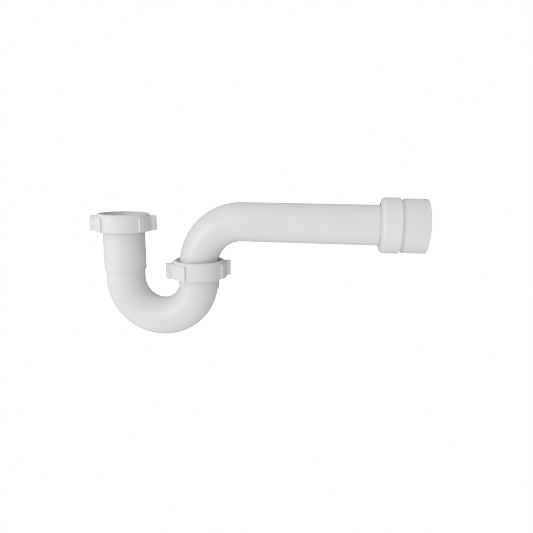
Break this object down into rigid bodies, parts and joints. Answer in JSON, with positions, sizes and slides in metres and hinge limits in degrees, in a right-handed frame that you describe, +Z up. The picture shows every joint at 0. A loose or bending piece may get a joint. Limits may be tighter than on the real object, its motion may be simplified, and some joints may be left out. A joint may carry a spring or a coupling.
{
  "type": "p trap",
  "caption": "White plastic tubular P-trap: a U-bend with winged slip nuts, a swivelling trap arm with an elbow, and a drain adapter with a smooth compression nut.",
  "frame": {"origin": "centre of the drain socket's mouth, at the wall end of the trap arm", "axes": "+X out of the drain socket, along the trap arm towards the wall; +Z up; the trap hangs in the plane Y = 0"},
  "size_m": [0.3282, 0.0544, 0.1453],
  "materials": {
    "white_plastic": "moulded semi-gloss white",
    "nut_plastic": "moulded semi-gloss warm white",
    "ring_plastic": "plain moulded white",
    "washer_rubber": "soft dark grey"
  },
  "bodies": {
    "drain_adapter": {"drain_adapter": "white_plastic"},
    "compression_nut": {"compression_nut": "nut_plastic"},
    "drain_friction_ring": {"drain_friction_ring": "ring_plastic"},
    "drain_washer": {"drain_washer": "washer_rubber"},
    "trap_arm": {"trap_arm": "white_plastic"},
    "swivel_washer": {"swivel_washer": "washer_rubber"},
    "j_bend": {"u_bend": "white_plastic", "swivel_hub": "white_plastic", "inlet_hub": "white_plastic", "inlet_washer": "washer_rubber"},
    "swivel_friction_ring": {"swivel_friction_ring": "ring_plastic"},
    "swivel_nut": {"swivel_nut": "nut_plastic"},
    "inlet_friction_ring": {"inlet_friction_ring": "ring_plastic"},
    "inlet_nut": {"inlet_nut": "nut_plastic"}
  },
  "joints": [
    {"name": "compression_nut_lift", "type": "slide", "parent": "drain_adapter", "child": "drain_friction_ring", "axis": [-1, 0, 0], "range_m": [0, 0.0066]},
    {"name": "compression_nut_spin", "type": "hinge", "parent": "drain_friction_ring", "child": "compression_nut", "pos_m": [-0.0333, 0, 0], "axis": [-1, 0, 0], "range_deg": [0, 1080]},
    {"name": "arm_spin", "type": "hinge", "parent": "drain_adapter", "child": "drain_washer", "pos_m": [-0.036, 0, 0], "axis": [1, 0, 0], "continuous": true},
    {"name": "arm_slide", "type": "slide", "parent": "drain_washer", "child": "trap_arm", "axis": [1, 0, 0], "range_m": [-0.01, 0.004]},
    {"name": "trap_drop", "type": "slide", "parent": "trap_arm", "child": "swivel_washer", "axis": [0, 0, -1], "range_m": [0, 0.003]},
    {"name": "trap_swivel", "type": "hinge", "parent": "swivel_washer", "child": "j_bend", "pos_m": [-0.218, 0, -0.05], "axis": [0, 0, 1], "range_deg": [-130, 130]},
    {"name": "swivel_nut_lift", "type": "slide", "parent": "j_bend", "child": "swivel_friction_ring", "axis": [0, 0, 1], "range_m": [0, 0.0055]},
    {"name": "swivel_nut_spin", "type": "hinge", "parent": "swivel_friction_ring", "child": "swivel_nut", "pos_m": [-0.218, 0, -0.048], "axis": [0, 0, 1], "range_deg": [0, 900]},
    {"name": "inlet_nut_lift", "type": "slide", "parent": "j_bend", "child": "inlet_friction_ring", "axis": [0, 0, 1], "range_m": [0, 0.0066]},
    {"name": "inlet_nut_spin", "type": "hinge", "parent": "inlet_friction_ring", "child": "inlet_nut", "pos_m": [-0.296, 0, -0.0033], "axis": [0, 0, 1], "range_deg": [0, 1080]}
  ],
  "couplings": [
    {"joint": "compression_nut_lift", "follows": "compression_nut_spin", "m_per_rad": 0.00035014},
    {"joint": "swivel_nut_lift", "follows": "swivel_nut_spin", "m_per_rad": 0.00035014},
    {"joint": "inlet_nut_lift", "follows": "inlet_nut_spin", "m_per_rad": 0.00035014}
  ]
}
